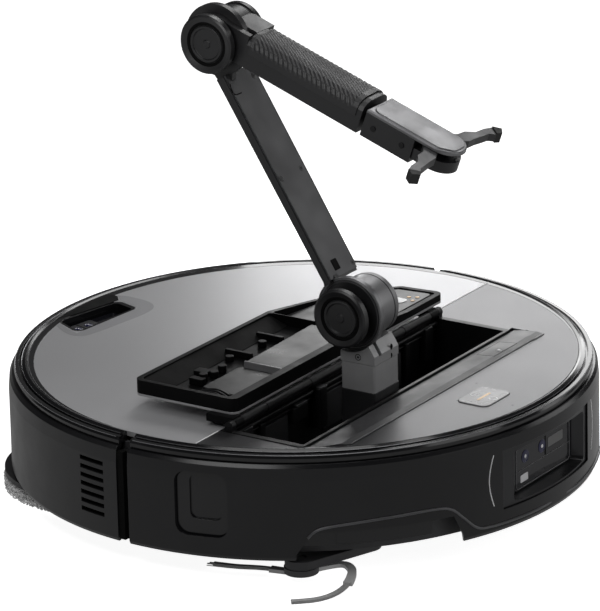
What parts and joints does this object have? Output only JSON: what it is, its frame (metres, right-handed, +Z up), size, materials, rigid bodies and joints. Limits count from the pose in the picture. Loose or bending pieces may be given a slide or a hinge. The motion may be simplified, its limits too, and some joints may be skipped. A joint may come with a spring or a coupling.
{
  "type": "robot vacuum with fold-out arm",
  "caption": "Round floor-cleaning robot with a jointed gripper arm that stands up out of a lidded bay in its deck.",
  "frame": {"origin": "on the floor, under the centre of the round body", "axes": "+X forward, towards the camera window; +Y left; +Z up"},
  "size_m": [0.35, 0.3554, 0.3002],
  "materials": {
    "shell_matte": "fine textured matte black",
    "bumper_satin": "satin black",
    "rim_gloss": "polished black with bright edges",
    "deck_silver": "fine brushed silver",
    "deck_grey": "satin dark grey",
    "rail_grey": "satin mid grey",
    "bay_black": "moulded black",
    "lid_black": "semi gloss black",
    "arm_black": "satin black",
    "arm_grey": "satin dark grey",
    "drum_grey": "satin grey",
    "grip_ribbed": "diagonal ribs, satin",
    "palm_grey": "satin light grey",
    "pad_rubber": "soft black rubber",
    "tread_rubber": "ribbed rubber",
    "steel": "turned steel",
    "sensor_glass": "dark tinted",
    "sensor_black": "piano black",
    "button_gloss": "gloss grey",
    "brush_rubber": "moulded rubber",
    "bristle": "nylon bristle",
    "mop_fabric": "looped pile",
    "inner_plastic": "moulded",
    "board_green": "solder mask"
  },
  "bodies": {
    "chassis": {"chassis_tray": "inner_plastic", "rear_shell": "shell_matte", "rim_ring": "rim_gloss", "side_arm_cover": "sensor_black", "rear_deck_cover": "deck_silver", "front_deck_cover": "deck_grey", "bay_tub": "bay_black", "bay_rail": "rail_grey", "rear_sensor_pod": "sensor_black", "rear_sensor_glass": "sensor_glass", "hinge_rods": "bay_black", "column_base": "arm_grey", "gap_posts": "bay_black", "wheel_axles": "steel", "battery_pack": "inner_plastic", "suction_fan": "inner_plastic", "dust_bin": "inner_plastic", "main_board": "board_green"},
    "bumper": {"front_bumper": "bumper_satin", "front_sensor_frame": "sensor_black", "front_sensor_glass": "sensor_glass", "camera_modules": "inner_plastic", "side_sensor_windows": "sensor_black"},
    "home_key": {"home_button": "button_gloss"},
    "rail_key": {"rail_button": "rail_grey"},
    "lid": {"lid_skin": "deck_silver", "lid_tray": "lid_black", "lid_hinge_arms": "lid_black"},
    "turret": {"column_head": "arm_grey", "shoulder_motor": "drum_grey", "shoulder_axle": "steel", "shoulder_cap": "arm_black"},
    "upper_arm": {"upper_link": "arm_black", "upper_link_cover": "arm_grey"},
    "forearm": {"forearm_housing": "arm_black", "forearm_grip_cover": "grip_ribbed", "elbow_axle": "arm_black", "elbow_cap": "arm_black"},
    "gripper": {"gripper_housing": "arm_black", "gripper_top_plate": "palm_grey", "gripper_nose": "arm_black"},
    "left_finger": {"finger_left": "drum_grey", "finger_pad_left": "pad_rubber"},
    "right_finger": {"finger_right": "drum_grey", "finger_pad_right": "pad_rubber"},
    "left_drive": {"left_wheel": "inner_plastic", "left_tyre": "tread_rubber"},
    "right_drive": {"right_wheel": "inner_plastic", "right_tyre": "tread_rubber"},
    "caster_swivel": {"caster_fork": "inner_plastic"},
    "caster_roller": {"caster_wheel": "pad_rubber"},
    "front_roller": {"front_brush_roller": "brush_rubber"},
    "rear_roller": {"rear_brush_roller": "brush_rubber"},
    "side_swing": {"side_arm": "inner_plastic"},
    "side_brush": {"side_brush_hub": "brush_rubber", "side_brush_bristles": "bristle"},
    "left_mop": {"left_mop_plate": "inner_plastic", "left_mop_pad": "mop_fabric"},
    "right_mop": {"right_mop_plate": "inner_plastic", "right_mop_pad": "mop_fabric"}
  },
  "joints": [
    {"name": "bumper_press", "type": "slide", "parent": "chassis", "child": "bumper", "axis": [-1, 0, 0], "range_m": [0, 0.003], "stiffness_N_per_m": 400, "springref_m": -0.002},
    {"name": "home_button_press", "type": "slide", "parent": "chassis", "child": "home_key", "axis": [0, 0, -1], "range_m": [0, 0.001], "stiffness_N_per_m": 1500, "springref_m": -0.0005},
    {"name": "rail_button_press", "type": "slide", "parent": "chassis", "child": "rail_key", "axis": [0, 0, -1], "range_m": [0, 0.0006], "stiffness_N_per_m": 1500, "springref_m": -0.0004},
    {"name": "lid_hinge", "type": "hinge", "parent": "chassis", "child": "lid", "pos_m": [0.0382, -0.02, 0.081], "axis": [0, 1, 0], "range_deg": [0, 65]},
    {"name": "base_yaw", "type": "hinge", "parent": "chassis", "child": "turret", "pos_m": [0.073, -0.041, 0.0995], "axis": [0, 0, 1], "range_deg": [-90, 90]},
    {"name": "shoulder_pitch", "type": "hinge", "parent": "turret", "child": "upper_arm", "pos_m": [0.0658, -0.041, 0.1275], "axis": [0, 1, 0], "range_deg": [-25, 50]},
    {"name": "elbow_pitch", "type": "hinge", "parent": "upper_arm", "child": "forearm", "pos_m": [-0.0218, -0.041, 0.2788], "axis": [0, 1, 0], "range_deg": [-130, 25]},
    {"name": "wrist_roll", "type": "hinge", "parent": "forearm", "child": "gripper", "pos_m": [0.07354, -0.041, 0.24836], "axis": [0.9397, 0, -0.342], "range_deg": [-90, 90]},
    {"name": "right_finger_close", "type": "hinge", "parent": "gripper", "child": "right_finger", "pos_m": [0.12182, -0.05, 0.23483], "axis": [0.342, 0, 0.9397], "range_deg": [0, 70]},
    {"name": "left_finger_close", "type": "hinge", "parent": "gripper", "child": "left_finger", "pos_m": [0.12182, -0.032, 0.23483], "axis": [-0.342, 0, -0.9397], "range_deg": [0, 70]},
    {"name": "left_wheel_spin", "type": "hinge", "parent": "chassis", "child": "left_drive", "pos_m": [-0.005, 0.112, 0.035], "axis": [0, 1, 0], "continuous": true},
    {"name": "right_wheel_spin", "type": "hinge", "parent": "chassis", "child": "right_drive", "pos_m": [-0.005, -0.112, 0.035], "axis": [0, 1, 0], "continuous": true},
    {"name": "caster_turn", "type": "hinge", "parent": "chassis", "child": "caster_swivel", "pos_m": [0.122, 0, 0.03], "axis": [0, 0, 1], "continuous": true},
    {"name": "caster_roll", "type": "hinge", "parent": "caster_swivel", "child": "caster_roller", "pos_m": [0.116, 0, 0.013], "axis": [0, 1, 0], "continuous": true},
    {"name": "front_roller_spin", "type": "hinge", "parent": "chassis", "child": "front_roller", "pos_m": [0.074, 0, 0.02], "axis": [0, 1, 0], "continuous": true},
    {"name": "rear_roller_spin", "type": "hinge", "parent": "chassis", "child": "rear_roller", "pos_m": [0.036, 0, 0.02], "axis": [0, 1, 0], "continuous": true},
    {"name": "side_arm_swing", "type": "hinge", "parent": "chassis", "child": "side_swing", "pos_m": [0.104, -0.098, 0.0105], "axis": [0, 0, 1], "range_deg": [0, 30]},
    {"name": "side_brush_spin", "type": "hinge", "parent": "side_swing", "child": "side_brush", "pos_m": [0.088, -0.14, 0.006], "axis": [0, 0, 1], "continuous": true},
    {"name": "right_mop_spin", "type": "hinge", "parent": "chassis", "child": "right_mop", "pos_m": [-0.097, -0.072, 0.011], "axis": [0, 0, 1], "continuous": true},
    {"name": "left_mop_spin", "type": "hinge", "parent": "chassis", "child": "left_mop", "pos_m": [-0.097, 0.072, 0.011], "axis": [0, 0, 1], "continuous": true}
  ],
  "couplings": [
    {"joint": "left_finger_close", "follows": "right_finger_close", "ratio": 1},
    {"joint": "rear_roller_spin", "follows": "front_roller_spin", "ratio": -1},
    {"joint": "left_mop_spin", "follows": "right_mop_spin", "ratio": -1}
  ]
}
